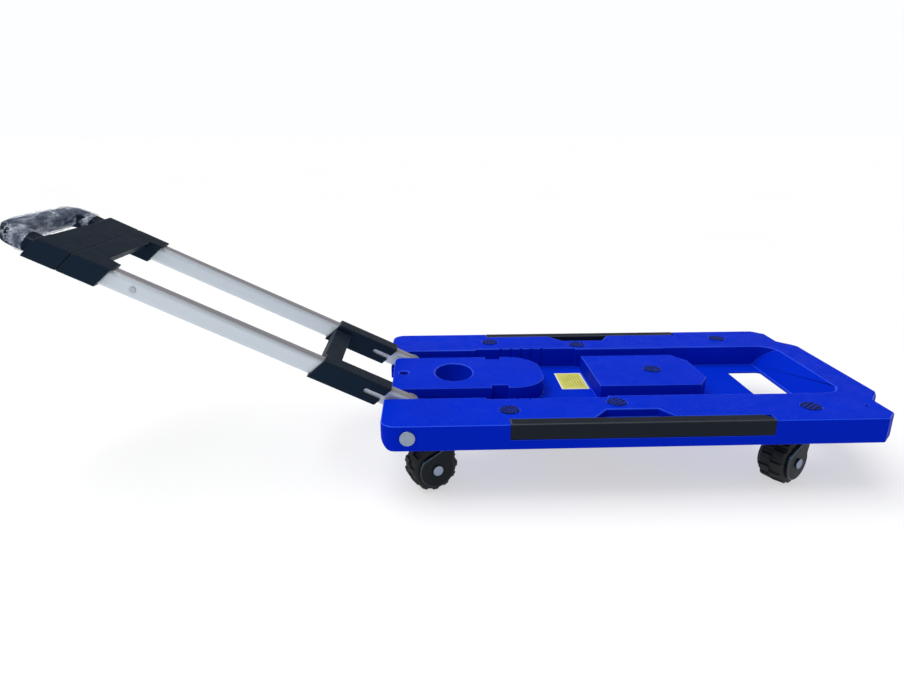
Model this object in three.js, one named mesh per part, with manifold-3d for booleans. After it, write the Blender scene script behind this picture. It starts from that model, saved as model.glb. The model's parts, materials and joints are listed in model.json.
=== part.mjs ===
// Folding platform cart: a hollow blue deck on four swivel casters, two pull-out side rails,
// and a telescopic handle that folds over the end into channels in the deck.
// Millimetres, +Z up, +X from the handle end to the carry slot. The origin is at the bottom centre.
import * as THREE from "three";
import { mergeVertices } from "three/addons/utils/BufferGeometryUtils.js";
import Module from "manifold-3d";

const wasm = await Module();
wasm.setup();

// ---- driving dimensions ----
const DECK_LENGTH = 600; // handle end to the corner blocks
const DECK_WIDTH = 340;
const DECK_HEIGHT = 98; // floor to the top of the deck
const SKIRT = 32; // height of the deck's side
const NOSE = 20; // how far the carry end stands past its corner blocks
const WALL = 3; // moulded walls inside the deck
const SKIN = 3.5; // its top and its skirt
const FLOOR = 2.6; // floor of the deepest recesses
const GAP = 0.3; // gap between faces that touch
const LIP = 1; // chamfer round every recess

const TUBE_Y = 75; // each handle tube's distance from the middle
const TUBES = [-TUBE_Y, TUBE_Y];
const TUBE_WIDE = 20;
const TUBE_DEEP = 24;
const TUBE_WALL = 1.5;
const SLEEVE_DEEP = 28.4; // depth of the collar and the handle housings
const COLLAR_WIDE = 29; // width of each collar leg
const HOUSING_WIDE = 31; // width of each housing leg
const PIVOT_X = 31;
const PIN_R = 5; // pivot axle
const PIN_BORE = PIN_R + GAP;
const CAP_R = 9; // cap over each end of the axle
const PIVOT_DROP = 14.8; // pivot below the deck top
const HANDLE_ANGLE = THREE.MathUtils.degToRad(26); // above the floor, leaning outwards
const SLANT = 12; // how far each sleeve's end is cut back over its depth

const WHEEL_R = 30;
const TREAD = 30;
const LUG = 2.6; // depth of the tread's blocks
const TRAIL = 14; // wheel centre behind the swivel axis
const HUB_R = 20;
const AXLE_R = 3.5;
const CROWN_Z = 61.2; // underside of each fork's crown
const CROWN = 3.4;
const BOSS_R = 26; // boss in the deck over each caster
const BOSS_UP = 4; // how far it stops short of the deck's lower edge
const CASTER_Y = 124;
const CHEEK_IN = TREAD / 2 + 1.2; // fork cheek's inner face from the wheel's middle
const CHEEK = 3.4;
const CASTERS = [
  { name: "front_left", x: 70, y: -CASTER_Y, yaw: 24 },
  { name: "back_left", x: 70, y: CASTER_Y, yaw: -35 },
  { name: "front_right", x: 500, y: -CASTER_Y, yaw: 33 },
  { name: "back_right", x: 500, y: CASTER_Y, yaw: 15 },
];

const TOP = DECK_HEIGHT;
const BOTTOM = DECK_HEIGHT - SKIRT;
const HALF = DECK_WIDTH / 2;
const DEEP = BOTTOM + FLOOR; // floor level of the channels and the grip well
const PIVOT_Z = TOP - PIVOT_DROP;

// deck features, X from the handle end, Y from the middle
const CHANNEL_IN = 59.7;
const CHANNEL_OUT = 90.3;
const WIDE_IN = 59;
const WIDE_OUT = 95;
const WIDE_FROM = 128; // where the channels widen for the collar
const ISLAND_END = 210;
const CROSS_FROM = 190; // full-width recess for the collar's bridge
const CROSS_TO = 278;
const CROSS_DEPTH = 22;
const CROSS_HALF = 58;
const MID_END = 426; // end of the middle island
const WELL_END = 579;
const WELL_TOE = 552; // foot of its sloping end
const WELL_HALF = 92;
const CARRY_SLOT = { x0: 500, x1: 549, half: 60 };
const CARRY_HOLE = { x: 90, rx: 25.5, ry: 33.5 };
const CATCH_HOLE = { x: 22, r: 6.5 };
const SCREW = { x: 581, y: 132, r: 2.5 };
const RAIL = { x0: 148, x1: 452, wide: 16, deep: 19, rods: [200, 400], rodR: 4 };
const GUIDE = [130, 140]; // where the block that guides each rail rod stands
const PADS = [
  ["pad_front_1", 151, -129],
  ["pad_front_2", 284, -111],
  ["pad_front_3", 512, -133],
  ["pad_middle", 364, 0],
  ["pad_back_1", 151, 129],
  ["pad_back_2", 284, 111],
  ["pad_back_3", 512, 133],
];
const PAD_R = 12;
const PAD_SUNK = 1.2;
const FINGER_IN = 132; // inner edge of the finger notches beside the rails
const FINGER_DEEP = 10;
const BAY_IN = 99; // inner wall of the hollows under the deck's sides
const BAY_OUT = 151;
const LEFT_BAY = [24, 126]; // hollows over the casters
const RIGHT_BAY = [457, 582];
const RIB = 3; // between hollows
const NOTCH = { x0: 137, x1: 159, half: 50 }; // cut into each side of the island

// stations along the handle, measured from the pivot on the underside of the leaning handle
const COLLAR_END = 42;
const COLLAR_TOP = 131;
const RIVET = 352;
const SLEEVE_OVERLAP = 22; // how far the tubes stand into each housing
const HOUSING_START = 392;
const SEAM = 436;
const HOUSING_END = 476;
const GRIP_END = 518;

// ---- materials ----
const finish = (color, roughness, metalness) =>
  new THREE.MeshStandardMaterial({ color, roughness, metalness });
const BLUE = finish(0x0f33cb, 0.45, 0);
const BLACK = finish(0x202a36, 0.5, 0);
const RUBBER = finish(0x191c20, 0.85, 0);
const DARK_PAD = finish(0x1b2c52, 0.8, 0);
const ALUMINIUM = finish(0xc4d0d6, 0.3, 1);
const STEEL = finish(0x9aa4aa, 0.35, 1);
const CHROME = finish(0xb8c4cc, 0.2, 1);
const LABEL = finish(0xd2d455, 0.5, 0);

// ---- solids ----
function solid(geometry) {
  const plain = geometry.clone();
  plain.deleteAttribute("normal");
  plain.deleteAttribute("uv");
  const merged = mergeVertices(plain, 1e-4);
  return new wasm.Manifold(
    new wasm.Mesh({
      numProp: 3,
      vertProperties: new Float32Array(merged.attributes.position.array),
      triVerts: new Uint32Array(merged.index.array),
    }),
  );
}

function geometryOf(body) {
  const mesh = body.getMesh();
  const positions = new Float32Array(mesh.numVert * 3);
  for (let i = 0; i < mesh.numVert; i++) {
    positions.set(mesh.vertProperties.subarray(i * mesh.numProp, i * mesh.numProp + 3), i * 3);
  }
  const geometry = new THREE.BufferGeometry();
  geometry.setAttribute("position", new THREE.BufferAttribute(positions, 3));
  geometry.setIndex(new THREE.BufferAttribute(new Uint32Array(mesh.triVerts), 1));
  geometry.computeVertexNormals();
  return geometry;
}

const union = (...bodies) => bodies.reduce((all, body) => all.add(body));
const cut = (body, ...tools) => tools.reduce((left, tool) => left.subtract(tool), body);

function block(x0, x1, y0, y1, z0, z1) {
  const box = new THREE.BoxGeometry(x1 - x0, y1 - y0, z1 - z0);
  return solid(box.translate((x0 + x1) / 2, (y0 + y1) / 2, (z0 + z1) / 2));
}

// A round bar between two places along X, Y or Z.
function rod(axis, radius, from, to, [x, y, z], sides = 24) {
  const bar = new THREE.CylinderGeometry(radius, radius, to - from, sides);
  if (axis === "x") bar.rotateZ(-Math.PI / 2);
  if (axis === "z") bar.rotateX(Math.PI / 2);
  const middle = (from + to) / 2;
  const place = { x: [middle, y, z], y: [x, middle, z], z: [x, y, middle] }[axis];
  return solid(bar.translate(...place));
}

// A flat outline in X and Y raised from z0 to z1, with an optional rounded rim.
function prism(shape, z0, z1, rim = 0, steps = 2) {
  const raised = new THREE.ExtrudeGeometry(shape, {
    depth: z1 - z0 - 2 * rim,
    bevelEnabled: rim > 0,
    bevelThickness: rim,
    bevelSize: rim,
    bevelOffset: -rim,
    bevelSegments: steps,
    curveSegments: 5,
  });
  return solid(raised.translate(0, 0, z0 + rim));
}

// An outline in X and Z carried along Y from y0 to y1.
function slab(points, y0, y1) {
  const shape = new THREE.Shape(points.map(([x, z]) => new THREE.Vector2(x, z)));
  const carried = new THREE.ExtrudeGeometry(shape, { depth: y1 - y0, bevelEnabled: false });
  return solid(carried.rotateX(Math.PI / 2).translate(0, y1, 0));
}

function polygon(points) {
  return new THREE.Shape(points.map(([x, y]) => new THREE.Vector2(x, y)));
}

// A rectangle with its own radius at each corner: low-x low-y, high-x low-y, high-x high-y, low-x high-y.
function roundedRectangle(x0, x1, y0, y1, [a, b, c, d]) {
  const shape = new THREE.Shape();
  shape.moveTo(x0 + a, y0);
  shape.lineTo(x1 - b, y0);
  if (b) shape.absarc(x1 - b, y0 + b, b, -Math.PI / 2, 0);
  shape.lineTo(x1, y1 - c);
  if (c) shape.absarc(x1 - c, y1 - c, c, 0, Math.PI / 2);
  shape.lineTo(x0 + d, y1);
  if (d) shape.absarc(x0 + d, y1 - d, d, Math.PI / 2, Math.PI);
  shape.lineTo(x0, y0 + a);
  if (a) shape.absarc(x0 + a, y0 + a, a, Math.PI, Math.PI * 1.5);
  return shape;
}

function oval(x, y, rx, ry, sides = 32) {
  const turns = Array.from({ length: sides }, (_, i) => (i / sides) * Math.PI * 2);
  return polygon(turns.map((turn) => [x + rx * Math.cos(turn), y + ry * Math.sin(turn)]));
}

// A recess cut down from the deck top, with a chamfered lip.
function recess(shape, floor) {
  const flare = new THREE.ExtrudeGeometry(shape, {
    depth: LIP,
    bevelEnabled: true,
    bevelThickness: LIP,
    bevelSize: LIP,
    bevelSegments: 1,
    curveSegments: 5,
  });
  return prism(shape, floor, TOP + LIP).add(solid(flare.translate(0, 0, TOP)));
}

const root = new THREE.Group();
const cart = new THREE.Group();
root.add(cart);

function place(parent, name, body, material) {
  const mesh = new THREE.Mesh(geometryOf(body), material);
  mesh.name = name;
  parent.add(mesh);
}

// ---- deck ----
function deckOutline() {
  const right = DECK_LENGTH;
  const nose = DECK_LENGTH + NOSE;
  const half = [
    [right - 16, HALF],
    [right, HALF - 16],
    [right, 116],
    [right + 6, 108],
    [nose - 5, 99],
    [nose, 90],
  ];
  const shape = roundedRectangle(0, right, -HALF, HALF, [18, 0, 0, 18]);
  const left = shape.getPoints(4).filter((p) => p.x < right - 20);
  const near = left.filter((p) => p.y < 0).sort((p, q) => q.x - p.x || p.y - q.y);
  const far = [...near].reverse().map((p) => new THREE.Vector2(p.x, -p.y));
  const carry = half.map(([x, y]) => new THREE.Vector2(x, y));
  const back = [...carry].reverse().map((p) => new THREE.Vector2(p.x, -p.y));
  return new THREE.Shape([...near.map((p) => p.clone()), ...far, ...carry, ...back]);
}

// The deck seen from the side: its handle end curves in below, and its carry end leans out.
function deckProfile() {
  const sole = 16;
  const points = [];
  for (let step = 0; step <= 6; step++) {
    const turn = Math.PI + (step / 6) * (Math.PI / 2);
    points.push([sole + sole * Math.cos(turn), BOTTOM + sole + sole * Math.sin(turn)]);
  }
  const end = DECK_LENGTH + NOSE + 1;
  points.push([end - 14, BOTTOM], [end, TOP - 6], [end, TOP + 1], [0, TOP + 1]);
  return points;
}

function islandOutline(inset) {
  const end = ISLAND_END - inset;
  const side = CHANNEL_IN - inset;
  return roundedRectangle(8 + inset, end, -side, side, [10, 44 - inset, 44 - inset, 10]);
}

function midOutline(inset) {
  const side = WIDE_IN - 0.5 - inset;
  return polygon([
    [CROSS_TO + inset, -side],
    [MID_END - 16 - inset, -side],
    [MID_END - inset, -34],
    [MID_END - inset, 34],
    [MID_END - 16 - inset, side],
    [CROSS_TO + inset, side],
  ]);
}

// Everything the folded handle lies in, less the islands that stand up inside it.
function handleRecesses() {
  const channels = roundedRectangle(-20, WIDE_FROM, -CHANNEL_OUT, CHANNEL_OUT, [0, 0, 0, 0]);
  const wide = roundedRectangle(WIDE_FROM - 2, CROSS_TO, -WIDE_OUT, WIDE_OUT, [3, 3, 3, 3]);
  const legs = roundedRectangle(CROSS_TO - 4, MID_END, -CHANNEL_OUT, CHANNEL_OUT, [0, 0, 0, 0]);
  const well = roundedRectangle(MID_END - 16, WELL_END, -WELL_HALF, WELL_HALF, [3, 26, 26, 3]);
  const above = TOP + 9;
  const slope = [
    [WELL_TOE, DEEP],
    [WELL_END + 4, DEEP],
    [WELL_END + 4, above],
    [WELL_END, TOP],
  ];
  const islands = union(
    cut(
      prism(islandOutline(0), DEEP, above),
      block(NOTCH.x0, NOTCH.x1, -70, -NOTCH.half, DEEP, above),
      block(NOTCH.x0, NOTCH.x1, NOTCH.half, 70, DEEP, above),
    ),
    prism(midOutline(0), DEEP, above),
    block(CROSS_FROM, CROSS_TO, -CROSS_HALF, CROSS_HALF, DEEP, TOP - CROSS_DEPTH),
    slab(slope, -WELL_HALF - 3, WELL_HALF + 3),
  );
  const all = union(recess(channels, DEEP), recess(wide, DEEP), recess(legs, DEEP), recess(well, DEEP));
  return cut(all, islands);
}

// Wedges in the channels that the tubes lean on while the handle stands open.
function handleStops() {
  const reach = TUBE_DEEP / 2 + GAP;
  const under = (x) =>
    PIVOT_Z + (PIVOT_X - x) * Math.tan(HANDLE_ANGLE) - reach / Math.cos(HANDLE_ANGLE);
  const profile = [
    [1, DEEP - 1],
    [22, DEEP - 1],
    [22, under(22)],
    [1, under(1)],
  ];
  return [-1, 1].map((side) => slab(profile, side * TUBE_Y - 15.5, side * TUBE_Y + 15.5));
}

// Room for each side rail, its rods, and the finger that pulls it out.
function railPockets() {
  const { x0, x1, wide, deep, rods, rodR } = RAIL;
  const tools = [];
  for (const side of [-1, 1]) {
    const span = (from, to) => (side < 0 ? [-to, -from] : [from, to]);
    const inner = HALF - wide - GAP;
    tools.push(block(x0 - GAP, x1 + GAP, ...span(inner, HALF + 5), TOP - deep - GAP, TOP + 5));
    const notch = polygon([
      [246, side * (inner + 2)],
      [266, side * FINGER_IN],
      [328, side * FINGER_IN],
      [342, side * (inner + 2)],
    ]);
    tools.push(recess(notch, TOP - FINGER_DEEP));
    for (const x of rods) {
      tools.push(rod("y", rodR + GAP, ...span(BAY_IN + 1, inner + 1), [x, 0, TOP - deep / 2], 16));
    }
  }
  return tools;
}

// Hollows open to the underside; the walls left between them are the deck's ribs.
function undersidePockets() {
  const ceiling = TOP - SKIN;
  const under = BOTTOM - 1;
  const outer = HALF - SKIN;
  const rodEdge = RAIL.rods[1] - RAIL.rodR;
  const tools = [];
  const bay = (x0, x1, y0, y1, z1 = ceiling) => tools.push(block(x0, x1, y0, y1, under, z1));
  for (const side of [-1, 1]) {
    const sideBay = (x0, x1, y0, y1, z1) =>
      side < 0 ? bay(x0, x1, -y1, -y0, z1) : bay(x0, x1, y0, y1, z1);
    for (const [x0, x1, caster] of [
      [...LEFT_BAY, CASTERS[0]],
      [...RIGHT_BAY, CASTERS[2]],
    ]) {
      const [y0, y1] = side < 0 ? [-outer, -BAY_IN] : [BAY_IN, outer];
      const hollow = prism(roundedRectangle(x0, x1, y0, y1, [8, 8, 8, 8]), under, ceiling);
      const boss = rod("z", BOSS_R, BOTTOM + BOSS_UP, TOP, [caster.x, side * CASTER_Y, 0], 24);
      tools.push(cut(hollow, boss));
    }
    sideBay(129, 174 - RIB, BAY_IN, BAY_OUT);
    sideBay(174, 247 - RIB, BAY_IN, BAY_OUT);
    sideBay(247, 346 - RIB, BAY_IN, BAY_OUT, TOP - FINGER_DEEP - SKIN);
    sideBay(346, rodEdge - 2 - RIB, BAY_IN, BAY_OUT);
    sideBay(rodEdge - 2, 454, BAY_IN, BAY_OUT);
    sideBay(RAIL.x0 + 4, RAIL.x1 - 4, HALF - RAIL.wide + 3, outer, TOP - RAIL.deep - SKIN);
  }
  const rib = (x) => block(x, x + RIB, -70, 70, under, TOP);
  const { x0, x1, half } = NOTCH;
  const holeWall = oval(CARRY_HOLE.x, 0, CARRY_HOLE.rx + WALL, CARRY_HOLE.ry + WALL);
  const notchEnd = half - SKIN;
  tools.push(
    cut(
      prism(islandOutline(WALL + 0.2), under, ceiling),
      prism(holeWall, under, TOP),
      rib(x0 - 4 - RIB),
      rib(x1 + 4),
      block(x0 - 4, x1 + 4, -70, -notchEnd, under, TOP),
      block(x0 - 4, x1 + 4, notchEnd, 70, under, TOP),
    ),
    cut(
      prism(midOutline(WALL), under, ceiling),
      rib(329),
      rib(379),
      block(CROSS_TO, MID_END, -RIB / 2, RIB / 2, under, TOP),
    ),
  );
  const crossSide = CROSS_HALF - 2;
  bay(216, 247 - RIB, -crossSide, crossSide, TOP - CROSS_DEPTH - WALL);
  bay(247, CROSS_TO - RIB, -crossSide, crossSide, TOP - CROSS_DEPTH - WALL);
  bay(WELL_END + 5, DECK_LENGTH + NOSE - 15, -84, 84);
  return tools;
}

function deckHoles() {
  const { x0, x1, half } = CARRY_SLOT;
  const slot = roundedRectangle(x0, x1, -half, half, [6, 6, 6, 6]);
  return [
    prism(slot, BOTTOM - 2, TOP),
    recess(oval(CARRY_HOLE.x, 0, CARRY_HOLE.rx, CARRY_HOLE.ry), BOTTOM - 2),
    recess(oval(CATCH_HOLE.x, 0, CATCH_HOLE.r, CATCH_HOLE.r, 16), TOP - 8),
    rod("y", PIN_BORE, -HALF - 2, HALF + 2, [PIVOT_X, 0, PIVOT_Z], 20),
    ...[-1, 1].map((side) => rod("z", SCREW.r, TOP - 8, TOP + 2, [SCREW.x, side * SCREW.y, 0], 12)),
    ...PADS.map(([, x, y]) => rod("z", PAD_R + GAP, TOP - PAD_SUNK, TOP + 2, [x, y, 0], 18)),
  ];
}

// Upright flutes along the outer wall of each channel's wide part.
function channelFlutes() {
  const tools = [];
  for (let x = 165; x < 230; x += 15.5) {
    for (const side of [-1, 1]) {
      tools.push(rod("z", 2.2, DEEP, TOP + 1, [x, side * WIDE_OUT, 0], 6));
    }
  }
  return tools;
}

function deck() {
  const body = prism(deckOutline(), BOTTOM, TOP, 2.5, 2);
  const shaped = body.intersect(slab(deckProfile(), -HALF - 1, HALF + 1));
  const hollowed = cut(shaped, handleRecesses(), ...railPockets(), ...undersidePockets());
  const guides = RAIL.rods.flatMap((x) =>
    [-1, 1].map((side) => {
      const [y0, y1] = side < 0 ? [-GUIDE[1], -GUIDE[0]] : GUIDE;
      const guide = block(x - 9, x + 9, y0, y1, TOP - RAIL.deep - 2, TOP - 2);
      return cut(guide, rod("y", RAIL.rodR + GAP, y0 - 1, y1 + 1, [x, 0, TOP - RAIL.deep / 2], 16));
    }),
  );
  const stops = handleStops().map((stop) => stop.intersect(body));
  return cut(union(hollowed, ...guides, ...stops), ...deckHoles(), ...channelFlutes());
}

place(cart, "deck_shell", deck(), BLUE);

for (const [name, x, y] of PADS) {
  const disc = rod("z", PAD_R, TOP - PAD_SUNK + GAP, TOP + 0.6, [x, y, 0], 18);
  place(cart, name, disc, DARK_PAD);
}
const labelFoot = TOP - CROSS_DEPTH + GAP;
place(cart, "label_plate", block(237, 275, -16, 44, labelFoot, labelFoot + 0.4), LABEL);

// ---- pivot ----
place(cart, "pivot_axle", rod("y", PIN_R, -HALF + 1, HALF - 1, [PIVOT_X, 0, PIVOT_Z], 20), STEEL);
for (const [name, side] of [
  ["pivot_cap_front", -1],
  ["pivot_cap_back", 1],
]) {
  const [from, to] = side < 0 ? [-HALF - 1.8, -HALF - GAP] : [HALF + GAP, HALF + 1.8];
  place(cart, name, rod("y", CAP_R, from, to, [PIVOT_X, 0, PIVOT_Z], 32), CHROME);
}

// ---- side rails ----
function sideRail(side) {
  const { x0, x1, wide, deep } = RAIL;
  const inner = HALF - wide;
  const outline = polygon([
    [x0, -inner],
    [x0, -HALF],
    [x1, -HALF],
    [x1, -inner - 9],
    [x1 - 8, -inner],
  ]);
  const bar = prism(outline, TOP - deep, TOP, 0.8, 1);
  const hollow = block(x0 + 4, x1 - 12, -HALF + 3, -inner - 3, TOP - deep - 1, TOP - 3);
  const seats = RAIL.rods.map((x) => block(x - 8, x + 8, -HALF + 2, -inner - 2, TOP - deep, TOP - 2));
  const sockets = RAIL.rods.map((x) =>
    rod("y", RAIL.rodR + GAP, -HALF + 6, -inner + 1, [x, 0, TOP - deep / 2], 16),
  );
  const rail = cut(union(cut(bar, hollow), ...seats), ...sockets);
  return side < 0 ? rail : rail.mirror([0, 1, 0]);
}

for (const [name, side] of [
  ["front", -1],
  ["back", 1],
]) {
  place(cart, `side_rail_${name}`, sideRail(side), BLACK);
  RAIL.rods.forEach((x, i) => {
    const [from, to] = side < 0 ? [-HALF + 6 + GAP, -101] : [101, HALF - 6 - GAP];
    const bar = rod("y", RAIL.rodR, from, to, [x, 0, TOP - RAIL.deep / 2], 16);
    place(cart, `rail_rod_${name}_${i + 1}`, bar, STEEL);
  });
}

// ---- casters ----
const AXLE_AT = [-TRAIL, 0, WHEEL_R];

// One side of a fork: a disc round the axle that sweeps up into the crown.
function forkCheek(y0, y1) {
  const shape = new THREE.Shape();
  shape.moveTo(-TRAIL - 8, CROWN_Z + 1.8);
  shape.absarc(-TRAIL, WHEEL_R, 22, Math.PI * 0.8, Math.PI * 2.12);
  shape.lineTo(12, CROWN_Z + 1.8);
  const cheek = new THREE.ExtrudeGeometry(shape, {
    depth: y1 - y0,
    bevelEnabled: false,
    curveSegments: 10,
  });
  return solid(cheek.rotateX(Math.PI / 2).translate(0, y1, 0));
}

function fork() {
  const outer = CHEEK_IN + CHEEK;
  const crown = rod("z", 23, CROWN_Z, CROWN_Z + CROWN, [0, 0, 0], 24);
  return cut(
    union(crown, forkCheek(CHEEK_IN, outer), forkCheek(-outer, -CHEEK_IN)),
    rod("z", PIN_BORE, 50, 70, [0, 0, 0], 10),
    rod("y", AXLE_R + GAP, -30, 30, AXLE_AT, 10),
  );
}

// Two rows of blocks round the wheel, each row half a block on from the other.
function tyre() {
  const lugs = 12;
  const row = (y0, y1, shift) => {
    const points = [];
    for (let i = 0; i < lugs; i++) {
      for (const [radius, offset] of [
        [WHEEL_R - LUG, -0.3],
        [WHEEL_R, -0.2],
        [WHEEL_R, 0.2],
        [WHEEL_R - LUG, 0.3],
      ]) {
        const at = ((i + shift + offset) / lugs) * Math.PI * 2 - Math.PI / 2;
        points.push([radius * Math.cos(at), radius * Math.sin(at)]);
      }
    }
    return slab(points, y0, y1);
  };
  const ring = union(row(-TREAD / 2, 0.5, 0), row(-0.5, TREAD / 2, 0.5));
  return cut(ring, rod("y", HUB_R, -TREAD, TREAD, [0, 0, 0], 20)).translate(AXLE_AT);
}

function hub() {
  const reach = TREAD / 2;
  const disc = union(
    rod("y", HUB_R - GAP, -reach + 2, reach - 2, [0, 0, 0], 24),
    rod("y", 7, -reach, reach, [0, 0, 0], 16),
  );
  return cut(disc, rod("y", AXLE_R + GAP, -TREAD, TREAD, [0, 0, 0], 12)).translate(AXLE_AT);
}

function axle() {
  const reach = CHEEK_IN + CHEEK;
  const cap = 6.4;
  return union(
    rod("y", AXLE_R, -reach - 1, reach + 1, AXLE_AT, 10),
    rod("y", cap, -reach - 2.4, -reach - GAP, AXLE_AT, 20),
    rod("y", cap, reach + GAP, reach + 2.4, AXLE_AT, 20),
  );
}

function casterMount() {
  return union(
    rod("z", 24, CROWN_Z + CROWN + 0.4, BOTTOM + BOSS_UP - GAP, [0, 0, 0], 24),
    rod("z", PIN_R, CROWN_Z + 0.2, BOTTOM, [0, 0, 0], 10),
  );
}

const forkSolid = fork();
const tyreSolid = tyre();
const hubSolid = hub();
const axleSolid = axle();
const mountSolid = casterMount();
for (const { name, x, y, yaw } of CASTERS) {
  const caster = new THREE.Group();
  caster.position.set(x, y, 0);
  caster.rotation.z = THREE.MathUtils.degToRad(yaw);
  cart.add(caster);
  place(caster, `caster_mount_${name}`, mountSolid, STEEL);
  place(caster, `caster_fork_${name}`, forkSolid, BLACK);
  place(caster, `caster_axle_${name}`, axleSolid, CHROME);
  place(caster, `wheel_hub_${name}`, hubSolid, BLACK);
  place(caster, `wheel_tyre_${name}`, tyreSolid, RUBBER);
}

// ---- handle ----
// In the handle's own frame X runs from the pivot to the grip and Z is the side that faces up and
// inwards while the handle stands open.
const turned = new THREE.Group();
turned.position.set(PIVOT_X, 0, PIVOT_Z);
turned.rotation.z = Math.PI;
cart.add(turned);
const handle = new THREE.Group();
handle.rotation.y = -HANDLE_ANGLE;
turned.add(handle);

// A flat-oval bar along X, centred on a handle tube.
function ovalBar(x0, x1, y, wide, deep, radius) {
  const section = roundedRectangle(-deep / 2, deep / 2, -wide / 2, wide / 2, Array(4).fill(radius));
  const bar = new THREE.ExtrudeGeometry(section, { depth: x1 - x0, bevelEnabled: false, curveSegments: 3 });
  return solid(bar.rotateY(Math.PI / 2).translate(x0, y, 0));
}

const INSIDE_WIDE = TUBE_WIDE - 2 * TUBE_WALL;
const INSIDE_DEEP = TUBE_DEEP - 2 * TUBE_WALL;
const INNER_WIDE = INSIDE_WIDE - 2 * GAP;
const INNER_DEEP = INSIDE_DEEP - 2 * GAP;

function outerTube(y) {
  const skin = union(
    ovalBar(0, SEAM - SLEEVE_OVERLAP, y, TUBE_WIDE, TUBE_DEEP, 6),
    rod("y", TUBE_DEEP / 2, y - TUBE_WIDE / 2, y + TUBE_WIDE / 2, [0, 0, 0], 24),
  );
  const wall = y + Math.sign(y) * 5;
  const rivetHole = rod("y", 2.3, wall - 8, wall + 8, [RIVET, 0, 0], 12);
  const through = rod("y", PIN_BORE, y - 20, y + 20, [0, 0, 0], 20);
  return cut(skin, ovalBar(-30, SEAM, y, INSIDE_WIDE, INSIDE_DEEP, 4.5), through, rivetHole);
}

function hingePlug(y) {
  const foot = rod("y", INNER_DEEP / 2, y - TUBE_WIDE / 2, y + TUBE_WIDE / 2, [0, 0, 0], 24);
  const outline = union(ovalBar(0, 30, y, INNER_WIDE, INNER_DEEP, 4), foot);
  return cut(
    ovalBar(-5, 26, y, INNER_WIDE, INNER_DEEP, 4).intersect(outline),
    rod("y", PIN_BORE, y - 20, y + 20, [0, 0, 0], 20),
  );
}

function innerTube(y) {
  return cut(
    ovalBar(60, HOUSING_END - 16, y, INNER_WIDE, INNER_DEEP, 4),
    ovalBar(50, HOUSING_END, y, INNER_WIDE - 2.4, INNER_DEEP - 2.4, 3),
  );
}

// A sleeve round one tube with both ends cut on the slant, and the tube's passage left out.
function slantedLeg(x0, x1, y, wide) {
  const depth = SLEEVE_DEEP / 2;
  const profile = [
    [x0, -depth],
    [x1, -depth],
    [x1 - SLANT, depth],
    [x0 - SLANT, depth],
  ];
  const body = slab(profile, y - wide / 2, y + wide / 2);
  return body.intersect(ovalBar(x0 - 20, x1 + 20, y, wide, SLEEVE_DEEP, 3));
}

function slantedBridge(x0, x1, z0, z1, half) {
  const shift = (z) => -SLANT * (z / SLEEVE_DEEP + 0.5);
  return slab(
    [
      [x0 + shift(z0), z0],
      [x1 + shift(z0), z0],
      [x1 + shift(z1), z1],
      [x0 + shift(z1), z1],
    ],
    -half,
    half,
  );
}

const passage = (x0, x1, y) => ovalBar(x0, x1, y, TUBE_WIDE + 2 * GAP, TUBE_DEEP + 2 * GAP, 6.3);

// Two sleeves that slide on the tubes, joined by a bridge, each with a slot in its lower end.
function lockCollar() {
  const legs = TUBES.map((y) => slantedLeg(COLLAR_END, COLLAR_TOP, y, COLLAR_WIDE));
  const bridge = slantedBridge(COLLAR_TOP - 24, COLLAR_TOP - 1, -3, 6.5, TUBE_Y - 10);
  const slotEnd = COLLAR_END + 16;
  const slots = TUBES.map((y) =>
    union(
      block(20, slotEnd, y - 20, y + 20, -4, 3),
      rod("y", 3.5, y - 20, y + 20, [slotEnd, 0, -0.5], 12),
    ),
  );
  return cut(union(...legs, bridge), ...TUBES.map((y) => passage(20, 140, y)), ...slots);
}

function lowerHousing() {
  const legs = TUBES.map((y) => slantedLeg(HOUSING_START, SEAM - GAP, y, HOUSING_WIDE));
  const bridge = slantedBridge(HOUSING_START + 16, SEAM - GAP, 2, SLEEVE_DEEP / 2, TUBE_Y - 10);
  const ends = SEAM - SLEEVE_OVERLAP + GAP;
  return cut(
    union(...legs, bridge),
    ...TUBES.flatMap((y) => [
      passage(HOUSING_START - 40, ends, y),
      ovalBar(ends - 1, SEAM + 5, y, INSIDE_WIDE, INSIDE_DEEP, 4.5),
    ]),
  );
}

function gripHousing() {
  const legs = TUBES.map((y) => slantedLeg(SEAM + GAP, HOUSING_END, y, HOUSING_WIDE));
  const bridge = slantedBridge(SEAM + GAP, HOUSING_END - 2, 2, SLEEVE_DEEP / 2, TUBE_Y - 10);
  const ring = roundedRectangle(SEAM + 6, GRIP_END - 4, -88, 88, [6, 26, 26, 6]);
  ring.holes.push(roundedRectangle(SEAM + 16, GRIP_END - 26, -60, 60, [3, 14, 14, 3]));
  const outside = block(HOUSING_END - 16, GRIP_END, -100, 100, -20, 20);
  const loop = prism(ring, -9, 10, 4, 2).intersect(outside);
  return cut(
    union(...legs, bridge, loop),
    ...TUBES.map((y) => ovalBar(SEAM - 20, HOUSING_END - 16 + GAP, y, INSIDE_WIDE, INSIDE_DEEP, 4.5)),
    rod("x", 5, GRIP_END - 16, GRIP_END, [0, 0, 0.5], 16),
  );
}

function releaseButton() {
  return union(
    rod("x", 4.6, GRIP_END - 11, GRIP_END - 3, [0, 0, 0.5], 16),
    rod("x", 3.4, GRIP_END - 4, GRIP_END - 1, [0, 0, 0.5], 16),
  );
}

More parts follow.
